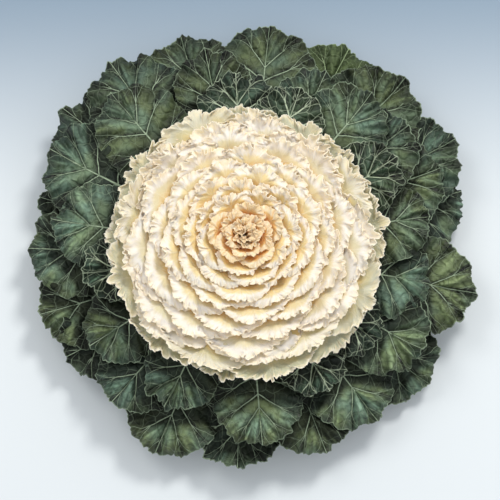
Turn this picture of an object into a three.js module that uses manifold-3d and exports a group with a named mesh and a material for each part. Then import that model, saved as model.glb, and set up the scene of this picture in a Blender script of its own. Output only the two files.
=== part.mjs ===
// Ornamental kale plant, cut at its stem and standing on the cut.
// Millimetres, +Z up, origin at the centre of the cut face of the stem.
// Each leaf lies on its own layer: a surface swept round the stem, so that the layers nest
// and no leaf crosses another. Low layers carry the green leaves, high ones the white head.

import * as THREE from 'three';
import { mergeVertices } from 'three/addons/utils/BufferGeometryUtils.js';
import loadManifold from 'manifold-3d';

const DEG = Math.PI / 180;
const GOLDEN_ANGLE = 137.508 * DEG;

// ---------------------------------------------------------------- layers

// Layers from the lowest leaf (rank 0) to the middle of the head (rank 13): the height of the
// leaf's foot on the stem and its slope there, then the radius, height and slope of its tip.
const STATIONS = [
  { rank: 0, foot: 14, rise: 10, radius: 156, height: 20, droop: -14 },
  { rank: 3, foot: 26, rise: 24, radius: 138, height: 41, droop: -8 },
  { rank: 6, foot: 38, rise: 38, radius: 116, height: 59, droop: -2 },
  { rank: 7, foot: 41.5, rise: 46, radius: 99, height: 67, droop: 5 },
  { rank: 7.8, foot: 45, rise: 52, radius: 95.5, height: 73, droop: 10 },
  { rank: 9, foot: 50, rise: 60, radius: 76, height: 81.5, droop: 18 },
  { rank: 11, foot: 59, rise: 70, radius: 45, height: 93, droop: 34 },
  { rank: 11.8, foot: 67, rise: 74, radius: 33, height: 97.5, droop: 44 },
  { rank: 12.2, foot: 76, rise: 78, radius: 25, height: 100, droop: 56 },
  { rank: 13, foot: 80, rise: 86, radius: 8, height: 104, droop: 84 },
];
const HANDLE = 0.38; // length of a layer curve's handles, as a share of its chord
const WRAP = 8; // added to the radius where a flat leaf is bent round the stem

// All layers rise and fall together: waves round the plant, from a radius outward.
const SWELL = {
  waves: [
    { round: 3, height: 4, phase: 0.7 },
    { round: 5, height: 2.8, phase: 2.1 },
    { round: 7, height: 1.8, phase: 4.4 },
  ],
  from: 60,
  to: 160,
};

// ---------------------------------------------------------------- stem and cores

// Radius of the stem, and of the two cores above it, at heights from the cut face up.
const STEM_PROFILE = [
  [15, 0], [15.2, 2], [14, 12], [13.6, 26], [12.4, 40], [11.4, 46.2],
];
const HEART_CORE = [
  [11.3, 46.5], [9.6, 56], [8, 62], [6, 70], [5, 73.4],
];
const BUD_CORE = [
  [4.8, 73.7], [3.6, 78], [1.6, 83],
];
const AXIS_PROFILE = [...STEM_PROFILE, ...HEART_CORE, ...BUD_CORE];
const SEAT_GAP = 0.4; // between a leaf's foot and what carries it
const ROOT_DEPTH = 1.5; // how far a fused leaf's foot is sunk into its core
const STEM_SIDES = 20;
const CORE_SIDES = 12;

// ---------------------------------------------------------------- kinds of leaf

// blade: length of half the blade as a share of the leaf; ruffle: lift of the margin's crests;
// curl: further lift of the tip; lobe: how far crests stand out of the outline, as a share;
// blunt: power of the cosine along the blade's front half, under 1 for a blunter tip;
// around: steps round the margin; rows: how far from the midrib to the margin each row lies.
const FAN = 0.2; // how much broader a blade is towards its tip
const SPINE_END = 0.45; // where the midrib ends, in half blades beyond the blade's middle
const GREEN = {
  blade: 0.33, thickness: 0.9, stalkThickness: 2.2, stalkWidth: 5, rib: 1.1, seat: SEAT_GAP,
  ruffle: 3, curl: 0.8, lobe: 0.05, blunt: 0.85, around: 24, rows: [1, 0.5], stalkRows: [0.5, 0],
};
const WHITE = {
  blade: 0.32, thickness: 0.8, stalkThickness: 1.8, stalkWidth: 5, rib: 0.7, seat: SEAT_GAP,
  ruffle: 2, curl: 5, lobe: 0.06, blunt: 0.6, around: 24, rows: [1, 0.5], stalkRows: [0.5, 0],
};
const HEART = {
  blade: 0.36, thickness: 0.8, stalkThickness: 1.6, stalkWidth: 4.5, rib: 0, seat: -ROOT_DEPTH,
  ruffle: 2.2, curl: 3, lobe: 0.08, blunt: 0.7, around: 12, rows: [1, 0.5], stalkRows: [0],
};
const BUD = { ...HEART, blade: 0.4, stalkWidth: 2.4, ruffle: 1.4, curl: 0, blunt: 1 };

// Green leaves: rank, azimuth (degrees, counter-clockwise from +X), reach from the axis and,
// for a narrow one, its share of the usual width. Leaves of one rank stand clear of each other.
const OUTER_LEAVES = [
  [0, 17, 163], [1, 29, 170, 0.95], [2, 48, 170], [0, 64, 172], [1, 84, 171], [0, 106, 169],
  [2, 125, 169], [1, 141, 167], [3, 152.5, 157], [0, 164, 152], [2, 179, 153], [1, 197, 150],
  [0, 210.5, 146], [2, 229, 142], [1, 246, 155], [0, 268, 151], [1, 292, 151], [2, 308, 150],
  [0, 325, 158], [1, 350, 164, 0.95],
];
const MIDDLE_LEAVES = [
  [4, 130.5, 146], [4, 171, 137], [3, 212, 128], [4, 243.5, 124], [3, 275, 138], [3, 330, 143],
  [4, 349, 132], [5, 10, 132], [3, 23.5, 151], [4, 37.5, 146], [5, 51, 142], [3, 66, 142, 0.84],
  [3, 101, 150, 0.84],
];
const INNER_LEAVES = [
  [5, 93, 128], [6, 71, 120, 0.97], [6, 30, 123, 0.97], [6, 324, 114], [5, 300, 116], [6, 190, 114],
];
const GREEN_WIDTH = 0.243; // half width of a green leaf as a share of its reach
const LIGHT_LEAF_AZIMUTH = 64; // the one outer leaf that is still yellowish green

// The white head: leaves follow each other round the stem by the golden angle.
const HEAD_FIRST_RANK = 7;
const HEAD_RANK_STEP = 0.1;
const HEAD_FIRST_AZIMUTH = 262 * DEG;
const WHITE_COUNT = 17; // leaves large enough to be pieces of their own
const HEART_COUNT = 31; // cream leaves fused round the heart's core
const BUD_START = 52; // place of the first bud leaf in the same spiral
const BUD_COUNT = 9;
const HEAD_WIDTH = { base: 13, perReach: 0.245 };
// Reach of the head's leaves by rank: the first thirteen make its round rim.
const HEAD_REACH = [[7, 97], [8.2, 97], [8.7, 86], [9.6, 72], [10.9, 50], [12.2, 25], [13, 8]];
const REACH_JITTER = 0.04; // share by which the reaches differ
const HEAD_SEED = 100;

// ---------------------------------------------------------------- materials

const material = (name, color, roughness) =>
  new THREE.MeshStandardMaterial({ name, color, roughness, metalness: 0 });
const MATERIALS = {
  stem: material('stem', '#b9c39a', 0.7),
  green: material('green_leaf', '#3f5f45', 0.6),
  light: material('light_green_leaf', '#64875a', 0.6),
  veined: material('veined_leaf', '#4b6b50', 0.6),
  white: material('white_leaf', '#f6eedc', 0.65),
  heart: material('heart_leaf', '#f0dfbe', 0.65),
  bud: material('bud_leaf', '#dca070', 0.65),
};

// ---------------------------------------------------------------- small functions

/** A repeatable number from 0 to 1 for a pair of whole numbers. */
function hash(i, j) {
  const wave = Math.sin(12.9898 * i + 78.233 * j) * 43758.5453;
  return wave - Math.floor(wave);
}

const ramp = (value, from, to) => THREE.MathUtils.clamp((value - from) / (to - from), 0, 1);

/** Radius of the stem or of the core above it at the height of a leaf's foot. */
function axisRadius(height) {
  const i = AXIS_PROFILE.findIndex(([, top]) => top > height);
  const [lowRadius, low] = AXIS_PROFILE[i - 1];
  const [highRadius, high] = AXIS_PROFILE[i];
  return THREE.MathUtils.mapLinear(height, low, high, lowRadius, highRadius);
}

/** The shared rise and fall of all layers: slow waves round the plant that grow outward. */
function swell(azimuth, radius) {
  const waves = SWELL.waves.map(({ round, height, phase }) =>
    height * Math.sin(round * azimuth + phase));
  return waves.reduce((a, b) => a + b) * ramp(radius, SWELL.from, SWELL.to);
}

// ---------------------------------------------------------------- layer curves

/** The station of a rank between the ones in the table. */
function station(rank) {
  const above = Math.max(1, STATIONS.findIndex((s) => s.rank >= rank));
  const low = STATIONS[above - 1];
  const high = STATIONS[above];
  const t = (rank - low.rank) / (high.rank - low.rank);
  const mixed = {};
  for (const key of Object.keys(low)) mixed[key] = THREE.MathUtils.lerp(low[key], high[key], t);
  return mixed;
}

/** The layer's curve in radius and height, from the leaf's root outward. */
function layerCurve(rank, rootRadius) {
  const s = station(rank);
  const root = new THREE.Vector2(rootRadius, s.foot);
  const tip = new THREE.Vector2(s.radius, s.height);
  const handle = HANDLE * root.distanceTo(tip);
  const rise = new THREE.Vector2(Math.cos(s.rise * DEG), Math.sin(s.rise * DEG));
  const droop = new THREE.Vector2(Math.cos(s.droop * DEG), Math.sin(s.droop * DEG));
  const curve = new THREE.CubicBezierCurve(
    root,
    root.clone().addScaledVector(rise, handle),
    tip.clone().addScaledVector(droop, -handle),
    tip,
  );
  return { curve, length: curve.getLength(), tip, droop };
}

/** Point and direction of a layer at a distance along it; straight on beyond its tip. */
function alongLayer(layer, distance) {
  if (distance >= layer.length) {
    const point = layer.tip.clone().addScaledVector(layer.droop, distance - layer.length);
    return { point, direction: layer.droop };
  }
  const share = Math.max(0, distance) / layer.length;
  return { point: layer.curve.getPointAt(share), direction: layer.curve.getTangentAt(share) };
}

/** Distance along a layer to the place where its radius is the given reach. */
function lengthToReach(layer, reach) {
  let low = 0;
  let high = 2 * layer.length;
  for (let step = 0; step < 40; step += 1) {
    const middle = (low + high) / 2;
    if (alongLayer(layer, middle).point.x < reach) low = middle;
    else high = middle;
  }
  return low;
}

// ---------------------------------------------------------------- one leaf

/** Sign and size of the margin's crest number j: crests rise and dip by turns. */
const crest = (leaf, j) => (j % 2 ? -1 : 1) * (0.5 + 0.5 * hash(leaf.seed, j));

/**
 * A point of the flat leaf, across and along, with the lift of its ruffle. The angle runs
 * round the blade from the stalk (-180 and 180 degrees) over the tip (0); v is 0 on the
 * midrib and 1 on the margin.
 */
function flatPoint(leaf, angle, v) {
  const { kind } = leaf;
  const half = kind.blade * leaf.length;
  const centre = leaf.length - half;
  const j = Math.round((angle / DEG + 180) / (360 / kind.around));
  const front = (1 + Math.cos(angle)) / 2;
  const bump = crest(leaf, j);
  const spread = 1 + kind.lobe * bump * front;
  const across = leaf.width * Math.sin(angle) * (1 + FAN * Math.cos(angle)) * spread;
  const stalk = Math.sign(angle) * kind.stalkWidth * Math.max(0, -Math.cos(angle));
  const along = Math.cos(angle);
  const ahead = along > 0 ? along ** kind.blunt : along;
  const edge = new THREE.Vector2(across + stalk, centre + half * ahead * spread);
  const spine = new THREE.Vector2(0, centre + half * ((1 + SPINE_END) * front - 1));
  const flat = spine.lerp(edge, v);
  const lift = (kind.ruffle * bump + kind.curl * front ** 2) * front * v ** 3;
  return { x: flat.x, y: flat.y, lift };
}

/** The flat point bent onto the leaf's layer; also the layer's normal there. */
function bend(leaf, { x, y, lift }) {
  const { point, direction } = alongLayer(leaf.layer, y);
  const turn = x / (point.x + WRAP);
  const out = new THREE.Vector3(Math.cos(turn), Math.sin(turn), 0);
  const normal = out.clone().multiplyScalar(-direction.y).setZ(direction.x);
  const place = out.multiplyScalar(point.x).setZ(point.y + swell(leaf.azimuth + turn, point.x));
  return { place: place.addScaledVector(normal, lift), normal };
}

/** Triangles between two rows of points that run the same way, the second on the left. */
function stitch(a, b) {
  const faces = [];
  let i = 0;
  let j = 0;
  while (i < a.length - 1 || j < b.length - 1) {
    const onA = j === b.length - 1
      || (i < a.length - 1 && (i + 1) * (b.length - 1) <= (j + 1) * (a.length - 1));
    if (onA) {
      faces.push([a[i], a[i + 1], b[j]]);
      i += 1;
    } else {
      faces.push([a[i], b[j + 1], b[j]]);
      j += 1;
    }
  }
  return faces;
}

/** The closed body of one leaf, its midrib along +X before it is turned to its azimuth. */
function leafGeometry(leaf) {
  const { kind } = leaf;
  const top = [];
  const under = [];

  /** Adds a point of the blade or stalk on both faces; returns its number. */
  function addPoint(flat, onSpine) {
    const { place, normal } = bend(leaf, flat);
    const alongShare = ramp(flat.y, 0, leaf.length);
    const stalkShare = 1 - ramp(alongShare, 0.05, 1 - 2 * kind.blade);
    const blade = THREE.MathUtils.lerp(kind.thickness, kind.stalkThickness, stalkShare);
    const rib = onSpine ? kind.rib * (1 - alongShare) : 0;
    top.push(place);
    under.push(place.clone().addScaledVector(normal, -(blade + rib)));
    return top.length - 1;
  }

  // Rows of the blade from the margin inward; the innermost has half as many steps.
  const rows = kind.rows.map((v, row) => {
    const count = row === kind.rows.length - 1 ? kind.around / 2 : kind.around;
    return Array.from({ length: count + 1 }, (_, i) => {
      const angle = THREE.MathUtils.lerp(-Math.PI, Math.PI, i / count);
      return addPoint(flatPoint(leaf, angle, v), false);
    });
  });
  const margin = rows[0];
  const inner = rows[rows.length - 1];
  const halfCount = (inner.length - 1) / 2;
  const spineHalf = Array.from({ length: halfCount + 1 }, (_, i) => {
    const angle = THREE.MathUtils.lerp(Math.PI, 0, i / halfCount);
    return addPoint(flatPoint(leaf, angle, 0), true);
  });
  const spine = [...spineHalf, ...spineHalf.slice(0, -1).reverse()];

  // Rows across the stalk, from the blade down to the foot.
  const neck = (1 - 2 * kind.blade) * leaf.length;
  const lastOf = (row) => row[row.length - 1];
  const collar = [...rows.map((row) => row[0]), spineHalf[0], ...rows.map(lastOf).reverse()];
  const stalk = kind.stalkRows.map((share) => [-1, 0, 1].map((side) =>
    addPoint({ x: side * kind.stalkWidth, y: share * neck, lift: 0 }, side === 0)));

  const faces = [];
  [...rows, spine].reduce((outside, inside) => {
    faces.push(...stitch(outside, inside));
    return inside;
  });
  [collar, ...stalk].reduce((outside, inside) => {
    faces.push(...stitch(outside, inside));
    return inside;
  });

  const rim = [
    ...margin,
    ...stalk.slice(0, -1).map((row) => row[2]),
    ...lastOf(stalk).slice().reverse(),
    ...stalk.slice(0, -1).map((row) => row[0]).reverse(),
  ];
  const below = top.length;
  const solid = faces.flatMap(([a, b, c]) => [a, b, c, below + a, below + c, below + b]);
  rim.forEach((a, i) => {
    const b = rim[(i + 1) % rim.length];
    solid.push(b, a, below + a, b, below + a, below + b);
  });

  const geometry = new THREE.BufferGeometry();
  geometry.setFromPoints([...top, ...under]);
  geometry.setIndex(solid);
  return geometry;
}

/** A leaf's measures from its rank, azimuth (radians), reach and half width. */
function makeLeaf(kind, rank, azimuth, reach, width, seed) {
  const layer = layerCurve(rank, axisRadius(station(rank).foot) + kind.seat);
  return { kind, azimuth, width, seed, layer, length: lengthToReach(layer, reach) };
}

/** Reach of the head's leaves between the rows of the table. */
function reachOfRank(rank) {
  const i = HEAD_REACH.findIndex(([above]) => above >= rank);
  const [lowRank, lowReach] = HEAD_REACH[Math.max(0, i - 1)];
  const [highRank, highReach] = HEAD_REACH[Math.max(1, i)];
  return THREE.MathUtils.mapLinear(rank, lowRank, highRank, lowReach, highReach);
}

/** Leaf number k of the head's spiral. */
function headLeaf(kind, k) {
  const rank = HEAD_FIRST_RANK + HEAD_RANK_STEP * k;
  const reach = reachOfRank(rank) * (1 + REACH_JITTER * (hash(k, 3) - 0.5));
  const width = HEAD_WIDTH.base + HEAD_WIDTH.perReach * reach;
  return makeLeaf(kind, rank, HEAD_FIRST_AZIMUTH + k * GOLDEN_ANGLE, reach, width, HEAD_SEED + k);
}

// ---------------------------------------------------------------- fused bunches

const wasm = await loadManifold();
wasm.setup();

function toManifold(geometry) {
  const bare = geometry.clone();
  bare.deleteAttribute('normal');
  bare.deleteAttribute('uv');
  const welded = mergeVertices(bare, 1e-4);
  return new wasm.Manifold(new wasm.Mesh({
    numProp: 3,
    vertProperties: new Float32Array(welded.getAttribute('position').array),
    triVerts: new Uint32Array(welded.getIndex().array),
  }));
}

function fromManifold(solid) {
  const { vertProperties, triVerts } = solid.getMesh();
  const geometry = new THREE.BufferGeometry();
  geometry.setAttribute('position', new THREE.BufferAttribute(new Float32Array(vertProperties), 3));
  geometry.setIndex(new THREE.BufferAttribute(new Uint32Array(triVerts), 1));
  return geometry;
}

/** A turned solid about +Z from [radius, height] points, closed to the axis at both ends. */
function turned(profile, sides) {
  const points = profile.map(([radius, height]) => new THREE.Vector2(radius, height));
  points.unshift(new THREE.Vector2(0, profile[0][1]));
  points.push(new THREE.Vector2(0, profile[profile.length - 1][1]));
  return new THREE.LatheGeometry(points, sides).rotateX(Math.PI / 2);
}

/** Head leaves fused to the core that they grow from, as one body with no pocket in it. */
function fusedBunch(kind, first, count, core) {
  let bunch = toManifold(turned(core, CORE_SIDES));
  for (let k = first; k < first + count; k += 1) {
    const leaf = headLeaf(kind, k);
    const blade = toManifold(leafGeometry(leaf).rotateZ(leaf.azimuth));
    bunch = bunch.add(blade);
  }
  const shells = bunch.decompose();
  return fromManifold(shells.reduce((a, b) => (a.volume() > b.volume() ? a : b)));
}

// ---------------------------------------------------------------- assembly

const plant = new THREE.Group();
plant.name = 'ornamental_kale';

function addPiece(name, geometry, surface, azimuth = 0) {
  const mesh = new THREE.Mesh(geometry, surface);
  mesh.name = name;
  mesh.rotation.z = azimuth;
  plant.add(mesh);
}

const numbered = (name, i) => `${name}_${String(i + 1).padStart(2, '0')}`;

addPiece('stem', turned(STEM_PROFILE, STEM_SIDES), MATERIALS.stem);

const GREEN_TIERS = [
  { name: 'outer_leaf', leaves: OUTER_LEAVES, surface: MATERIALS.green },
  { name: 'middle_leaf', leaves: MIDDLE_LEAVES, surface: MATERIALS.green },
  { name: 'inner_leaf', leaves: INNER_LEAVES, surface: MATERIALS.veined },
];
for (const { name, leaves, surface } of GREEN_TIERS) {
  leaves.forEach(([rank, azimuth, reach, widthShare = 1], i) => {
    const width = GREEN_WIDTH * reach * widthShare;
    const leaf = makeLeaf(GREEN, rank, azimuth * DEG, reach, width, Math.round(azimuth));
    const isLight = name === 'outer_leaf' && azimuth === LIGHT_LEAF_AZIMUTH;
    const colour = isLight ? MATERIALS.light : surface;
    addPiece(numbered(name, i), leafGeometry(leaf), colour, leaf.azimuth);
  });
}

for (let k = 0; k < WHITE_COUNT; k += 1) {
  const leaf = headLeaf(WHITE, k);
  addPiece(numbered('white_leaf', k), leafGeometry(leaf), MATERIALS.white, leaf.azimuth);
}
addPiece('heart', fusedBunch(HEART, WHITE_COUNT, HEART_COUNT, HEART_CORE), MATERIALS.heart);
addPiece('heart_bud', fusedBunch(BUD, BUD_START, BUD_COUNT, BUD_CORE), MATERIALS.bud);

export default plant;
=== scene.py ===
"""Looks of an ornamental kale plant that stands on its cut stem.

Every leaf is a thin closed shell on its own layer, a surface swept round the stem. Measures
are in millimetres up to the mesh, which is in metres."""

import math
from dataclasses import dataclass, replace

import bpy
import numpy as np
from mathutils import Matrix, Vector


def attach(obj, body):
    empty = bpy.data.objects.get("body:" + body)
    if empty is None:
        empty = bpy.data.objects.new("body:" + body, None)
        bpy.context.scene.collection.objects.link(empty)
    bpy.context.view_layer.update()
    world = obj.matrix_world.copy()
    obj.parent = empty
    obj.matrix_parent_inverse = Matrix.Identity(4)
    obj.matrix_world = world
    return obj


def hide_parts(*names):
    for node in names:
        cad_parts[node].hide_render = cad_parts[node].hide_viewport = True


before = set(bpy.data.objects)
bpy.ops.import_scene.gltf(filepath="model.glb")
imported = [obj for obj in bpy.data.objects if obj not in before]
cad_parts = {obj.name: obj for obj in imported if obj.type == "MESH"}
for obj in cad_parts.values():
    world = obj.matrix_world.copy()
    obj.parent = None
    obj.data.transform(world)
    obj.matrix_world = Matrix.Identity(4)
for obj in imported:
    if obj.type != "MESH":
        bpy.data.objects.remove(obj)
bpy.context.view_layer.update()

MM = 0.001
GOLDEN_ANGLE = math.radians(137.508)

# ---------------------------------------------------------------- layers

# Rank of a layer, height of the leaf's foot on the stem, slope there, then radius, height
# and slope of the leaf's tip: the same layers as the solids lie on, and a last one for the
# leaves that the bud has here alone.
STATIONS = np.array([
    [0, 14, 10, 156, 20, -14],
    [3, 26, 24, 138, 41, -8],
    [6, 38, 38, 116, 59, -2],
    [7, 41.5, 46, 99, 67, 5],
    [7.8, 45, 52, 95.5, 73, 10],
    [9, 50, 60, 76, 81.5, 18],
    [11, 59, 70, 45, 93, 34],
    [11.8, 67, 74, 33, 97.5, 44],
    [12.2, 76, 78, 25, 100, 56],
    [13, 80, 86, 8, 104, 84],
    [13.6, 82.5, 88, 1, 105, 88],
])
HANDLE = 0.38  # length of a layer curve's handles, as a share of its chord
WRAP = 8  # added to the radius where a flat leaf is bent round the stem
FAN = 0.2  # by how much the blade is wider towards its tip
SPINE_END = 0.45  # the tip's row starts this far past the blade's middle, in halves of the blade
SWELL = [(3, 4, 0.7), (5, 2.8, 2.1), (7, 1.8, 4.4)]  # waves round, height, phase
SWELL_FROM, SWELL_TO = 60, 160  # radii where the rise and fall starts and is full

# Profiles: radius and height.
STEM_PROFILE = np.array([[15, 0], [15.2, 2], [14, 12], [13.6, 26], [12.4, 40], [11.4, 46.2]])
HEART_CORE = np.array([[11.3, 46.5], [9.6, 56], [8, 62], [6, 70], [5, 73.4]])
BUD_CORE = np.array([[4.8, 73.7], [3.6, 78], [1.6, 83]])
AXIS_PROFILE = np.vstack([STEM_PROFILE, HEART_CORE, BUD_CORE])
SEAT_GAP = 0.4  # from the stem to a leaf that is a solid of its own
ROOT_DEPTH = 1.5  # of a crowded leaf in its core

# ---------------------------------------------------------------- kinds of leaf


@dataclass(frozen=True)
class Kind:
    """Measures shared by all leaves of one kind, in mm or as shares of the leaf.

    The first group is the solids' form; the others are the fine work on it. Rows and columns
    are odd numbers."""

    blade: float  # half the blade's length, as a share of the leaf's
    thickness: float
    stalk_thickness: float
    stalk_width: float  # half of it
    rib: float  # height of the midrib on the under side
    seat: float  # gap between the stem's surface and the leaf's foot, negative where sunk
    ruffle: float  # height of the solid's crests at the margin
    curl: float  # depth of the band that turns up or down
    lobe: float  # by what share the solid's crests widen the blade
    crests: int
    blunt: float  # power of the cosine along the leaf's front half: under 1, a blunter tip

    rows: int
    columns: int
    edge: float  # thickness at the margin
    scallop: tuple  # length of a lobe along the margin, depth
    tooth: tuple  # length, depth
    frill: tuple  # length, height, pull inward and along as a share, depth it dies away over
    fold: tuple  # the same of the broad waves
    ripple: tuple  # the same of the smallest waves
    sway: float  # by how much a leaf's curl and tilt differ from the next one's
    crumple: tuple  # size and height of the blade's dents
    stray: tuple  # size and width of the bends in the waves' lines
    crinkle: tuple  # size and height of small lumps, depth they die away over
    quilt: float  # height of the panels between the veins
    vein_step: float = 27  # degrees of the fan


GREEN = Kind(
    blade=0.33, thickness=0.8, stalk_thickness=2.2, stalk_width=5, rib=1.1, seat=SEAT_GAP,
    ruffle=3, curl=22, lobe=0.02, crests=24, blunt=0.85,
    rows=131, columns=13, edge=0.45, scallop=(10, 2.8), tooth=(4.2, 1.1),
    frill=(9, 2.4, 0.1, 15), fold=(28, 4.4, 0.05, 22), ripple=(4.4, 0.5, 0.1, 5), sway=6,
    crumple=(17, 2.2), stray=(16, 3), crinkle=(5, 0.5, 34), quilt=3.9,
)
WHITE = Kind(
    blade=0.32, thickness=0.7, stalk_thickness=1.8, stalk_width=5, rib=0.7, seat=SEAT_GAP,
    ruffle=2, curl=13, lobe=0.06, crests=24, blunt=0.6,
    rows=281, columns=13, edge=0.4, scallop=(4.6, 1.9), tooth=(2, 0.7),
    frill=(7, 1.6, 0.35, 3.8), fold=(17, 2, 0.2, 7), ripple=(3.6, 0.5, 0.3, 2.2),
    sway=3.5, crumple=(11, 1.8), stray=(6, 3.4), crinkle=(3.4, 0.4, 9), quilt=0.1,
)
HEART = Kind(
    blade=0.36, thickness=0.7, stalk_thickness=1.6, stalk_width=4.5, rib=0, seat=-ROOT_DEPTH,
    ruffle=2.2, curl=9, lobe=0.08, crests=12, blunt=0.7,
    rows=201, columns=13, edge=0.4, scallop=(4.2, 1.7), tooth=(1.9, 0.7),
    frill=(6, 1.5, 0.35, 3.4), fold=(14, 1.7, 0.2, 6), ripple=(3.2, 0.45, 0.3, 2),
    sway=2.2, crumple=(9, 1.4), stray=(5, 3.2), crinkle=(3.2, 0.3, 7), quilt=0,
)
BUD = replace(
    HEART, blade=0.4, stalk_width=2.4, ruffle=1.4, curl=5, blunt=1,
    rows=131, columns=9, scallop=(3, 1.2), tooth=(1.6, 0.5),
    frill=(4.4, 1.1, 0.3, 3), fold=(9, 0.9, 0.2, 6), ripple=(2.2, 0.2, 0.2, 1.6),
    sway=1, crumple=(5, 0.4), stray=(4, 1.5), crinkle=(2.6, 0.2, 5),
)

# Green leaves: rank, azimuth in degrees, reach and, for a narrow one, its share of the width.
OUTER_LEAVES = [
    (0, 17, 163), (1, 29, 170, 0.95), (2, 48, 170), (0, 64, 172), (1, 84, 171), (0, 106, 169),
    (2, 125, 169), (1, 141, 167), (3, 152.5, 157), (0, 164, 152), (2, 179, 153), (1, 197, 150),
    (0, 210.5, 146), (2, 229, 142), (1, 246, 155), (0, 268, 151), (1, 292, 151), (2, 308, 150),
    (0, 325, 158), (1, 350, 164, 0.95),
]
MIDDLE_LEAVES = [
    (4, 130.5, 146), (4, 171, 137), (3, 212, 128), (4, 243.5, 124), (3, 275, 138), (3, 330, 143),
    (4, 349, 132), (5, 10, 132), (3, 23.5, 151), (4, 37.5, 146), (5, 51, 142), (3, 66, 142, 0.84),
    (3, 101, 150, 0.84),
]
INNER_LEAVES = [
    (5, 93, 128), (6, 71, 120, 0.97), (6, 30, 123, 0.97), (6, 324, 114), (5, 300, 116),
    (6, 190, 114),
]
GREEN_WIDTH = 0.243  # half a leaf's width, as a share of its reach
GREEN_TURN = 0.8
LIGHT_LEAF_AZIMUTH = 64  # of the outer leaf that is yellowish green

HEAD_FIRST_RANK = 7
HEAD_RANK_STEP = 0.1
HEAD_FIRST_AZIMUTH = math.radians(262)
HEAD_WIDTH_BASE, HEAD_WIDTH_SHARE = 15, 0.26  # half a leaf's width: base, share of its reach
HEAD_WAVES, HEAD_WAVES_BACK = 1.15, 0.5  # the leaves' waves, and by how much more at the back
# Rank of a leaf of the head, its reach, and how far its margin turns up (down where negative).
# The first thirteen leaves make the head's round rim.
HEAD_SHAPE = np.array([
    [7, 97, 3], [8.2, 97, 3], [8.7, 87, 1.5], [9.6, 72, 0], [10.9, 50, -1.5], [12.2, 25, -2.4],
    [13, 8, -2.4], [13.6, 1, 0],
])
REACH_JITTER = 0.04
HEAD_SEED = 100  # the head's leaves are seeded from here on
# Places in the head's spiral: of white leaves, then of the heart's, then of the bud's.
WHITE_COUNT = 17
BUD_START = 52
BUD_COUNT = 14  # the solid has nine
FILL, BUD_FILL = 1.5, 1.3  # leaves here to one place
RIM_FILL = 9  # shorter leaves on top of the rim's upper ones
RIM_FILL_PLACE = 14.2  # of the first of them
RIM_FILL_FIRST, RIM_FILL_TURN = 4, 123  # 123 golden angles bring a leaf back beside its start


@dataclass(frozen=True)
class Leaf:
    kind: Kind
    rank: float
    azimuth: float  # radians
    reach: float
    width: float
    seed: int
    turn: float  # height of the margin's curl
    waves: float = 1  # how high the leaf's waves are, as a share of its kind's


# ---------------------------------------------------------------- layer geometry


def hash_number(i, j):
    """A repeatable number from 0 to 1 for a pair of whole numbers: the fraction of a large sine."""
    wave = np.sin(12.9898 * i + 78.233 * j) * 43758.5453
    return wave - np.floor(wave)


def station(rank):
    """Foot height, foot slope, tip radius, tip height and tip slope of a rank."""
    return [np.interp(rank, STATIONS[:, 0], STATIONS[:, i]) for i in range(1, 6)]


def layer_line(leaf, count=400):
    """Distance, radius, height and the slope's cosine and sine along the leaf's layer.

    The line is one cubic Bezier curve from foot to tip, and goes on straight after it."""
    foot, rise, radius, height, droop = station(leaf.rank)
    stem = np.interp(foot, AXIS_PROFILE[:, 1], AXIS_PROFILE[:, 0])
    root = np.array([stem + leaf.kind.seat, foot])
    tip = np.array([radius, height])
    handle = HANDLE * np.linalg.norm(tip - root)
    up = np.array([math.cos(math.radians(rise)), math.sin(math.radians(rise))])
    down = np.array([math.cos(math.radians(droop)), math.sin(math.radians(droop))])
    t = np.linspace(0, 1, count)[:, None]
    a, b = root + up * handle, tip - down * handle
    curve = (1 - t) ** 3 * root + 3 * t * (1 - t) ** 2 * a + 3 * t**2 * (1 - t) * b + t**3 * tip
    curve = np.vstack([curve, tip + down * leaf.reach])
    step = np.diff(curve, axis=0)
    length = np.hypot(step[:, 0], step[:, 1])
    distance = np.concatenate([[0], np.cumsum(length)])
    slope = np.gradient(curve, distance, axis=0)
    slope[-2:] = down
    slope /= np.linalg.norm(slope, axis=1)[:, None]
    return distance, curve[:, 0], curve[:, 1], slope[:, 0], slope[:, 1]


def swell(azimuth, radius):
    """The shared rise and fall of all layers: sines round the plant that grow outward."""
    waves = sum(height * np.sin(turns * azimuth + phase) for turns, height, phase in SWELL)
    return waves * np.clip((radius - SWELL_FROM) / (SWELL_TO - SWELL_FROM), 0, 1)


def bend(leaf, line, x, y):
    """Places of flat points (x across, y along) on the leaf's layer, and the layer's normal.

    Across becomes a turn about the stem: x over the radius plus a constant."""
    distance, radius, height, cosine, sine = line
    r = np.interp(y, distance, radius)
    z = np.interp(y, distance, height)
    c = np.interp(y, distance, cosine)
    s = np.interp(y, distance, sine)
    azimuth = leaf.azimuth + x / (r + WRAP)
    place = np.stack([r * np.cos(azimuth), r * np.sin(azimuth), z + swell(azimuth, r)], -1)
    normal = np.stack([-s * np.cos(azimuth), -s * np.sin(azimuth), c], -1)
    return place, normal


# ---------------------------------------------------------------- uneven lines and fields


def wavy_line(rng, places, length):
    """A wavy line from -1 to 1, and its slip.

    Crests and dips of chance height follow each other about half a length apart, joined by
    half cosines. The slip is a sine, 0 at each crest and dip: added along the line, it bunches
    the flanks and makes folds of the waves."""
    count = int(2.4 * places.max() / length) + 8
    knots = np.cumsum(rng.uniform(0.65, 1.35, count)) * length / 2
    knots -= knots[0]
    values = rng.uniform(0.45, 1, count) * (-1.0) ** np.arange(count)
    low = np.clip(np.searchsorted(knots, places, side="right") - 1, 0, count - 2)
    share = (places - knots[low]) / (knots[low + 1] - knots[low])
    ease = (1 - np.cos(np.pi * share)) / 2
    return values[low] * (1 - ease) + values[low + 1] * ease, np.sin(2 * np.pi * share)


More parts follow.
